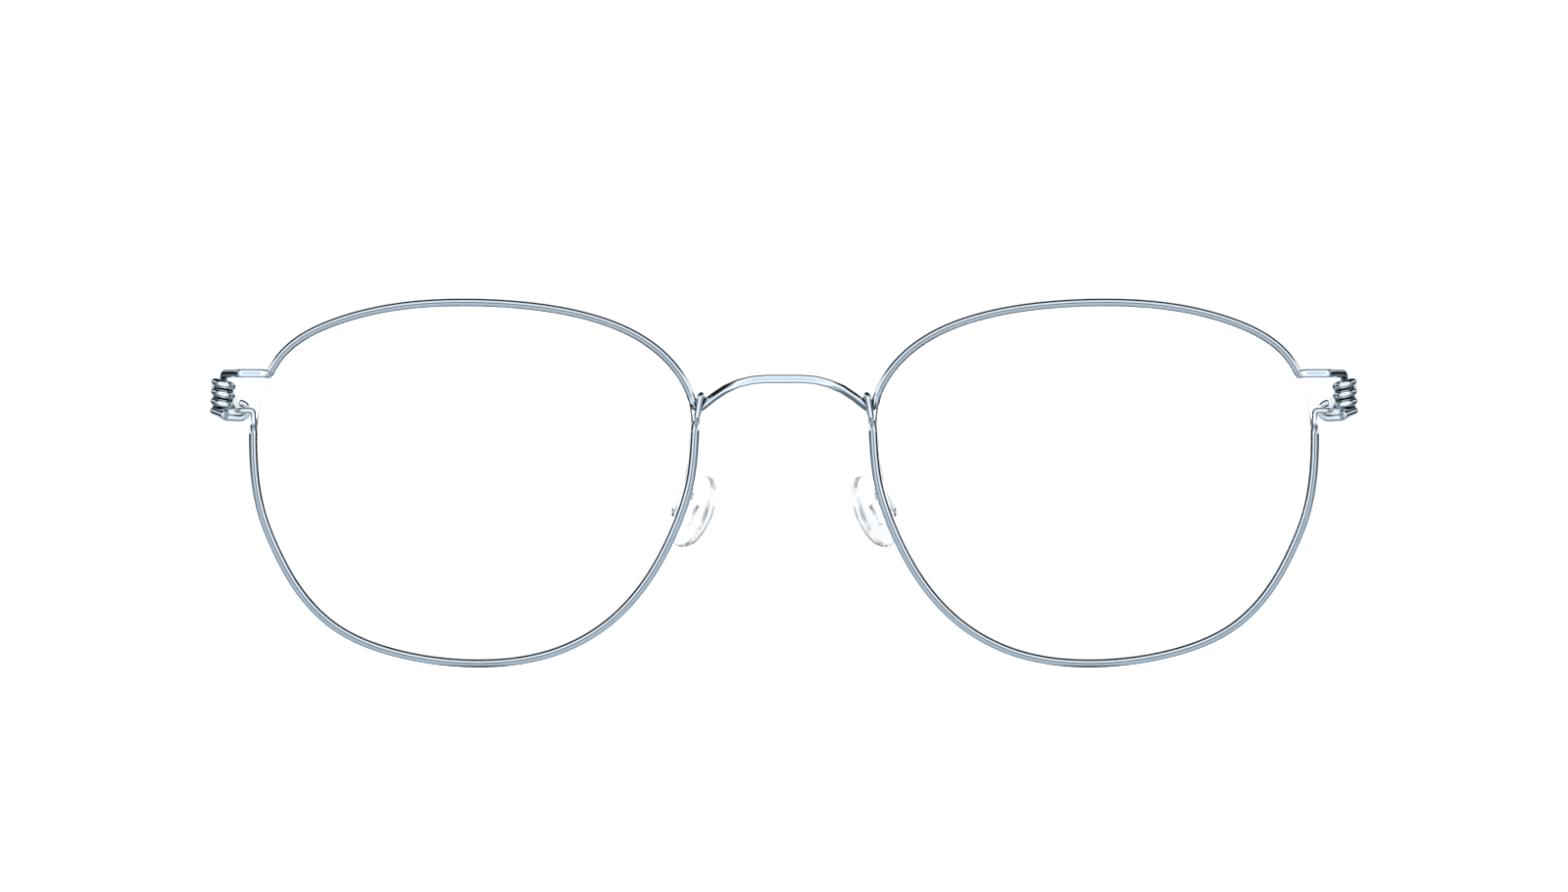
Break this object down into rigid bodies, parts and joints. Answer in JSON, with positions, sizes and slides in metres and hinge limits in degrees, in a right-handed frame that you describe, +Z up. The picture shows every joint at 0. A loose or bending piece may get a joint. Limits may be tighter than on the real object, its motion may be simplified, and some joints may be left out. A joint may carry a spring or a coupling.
{
  "type": "eyeglasses",
  "caption": "Round wire eyeglasses: a bent wire front holding clear lenses, with screwless coil hinges, folding temples and soft nose pads.",
  "frame": {"origin": "middle of the object's box at its foot, under the middle of the bridge across the width", "axes": "+Z up, -Y towards what the wearer looks at, +X towards the wearer's left"},
  "size_m": [0.136, 0.1512, 0.0415],
  "materials": {
    "titanium_wire": "polished, cool steel grey",
    "clear_lens": "clear, uncoated demo lens",
    "clear_silicone": "translucent soft silicone"
  },
  "bodies": {
    "front": {"brow_wire": "titanium_wire", "lower_rim_wire_left": "titanium_wire", "lower_rim_wire_right": "titanium_wire", "lens_left": "clear_lens", "lens_right": "clear_lens", "nose_pad_wire_left": "titanium_wire", "nose_pad_wire_right": "titanium_wire"},
    "temple_left": {"temple_wire_left": "titanium_wire", "temple_tip_left": "clear_silicone"},
    "temple_right": {"temple_wire_right": "titanium_wire", "temple_tip_right": "clear_silicone"},
    "nose_pad_left": {"nose_pad_left": "clear_silicone"},
    "nose_pad_right": {"nose_pad_right": "clear_silicone"}
  },
  "joints": [
    {"name": "temple_left_fold", "type": "hinge", "parent": "front", "child": "temple_left", "pos_m": [0.06305, -0.06949, 0.03042], "axis": [-0.0436, 0, 0.999], "range_deg": [0, 89.5]},
    {"name": "temple_right_fold", "type": "hinge", "parent": "front", "child": "temple_right", "pos_m": [-0.06305, -0.06949, 0.03042], "axis": [-0.0436, 0, -0.999], "range_deg": [0, 86]},
    {"name": "nose_pad_left_rock", "type": "hinge", "parent": "front", "child": "nose_pad_left", "pos_m": [0.01126, -0.06857, 0.01782], "axis": [-0.4522, -0.2211, 0.8641], "range_deg": [-8, 8]},
    {"name": "nose_pad_right_rock", "type": "hinge", "parent": "front", "child": "nose_pad_right", "pos_m": [-0.01126, -0.06857, 0.01782], "axis": [-0.4522, 0.2211, -0.8641], "range_deg": [-8, 8]}
  ]
}
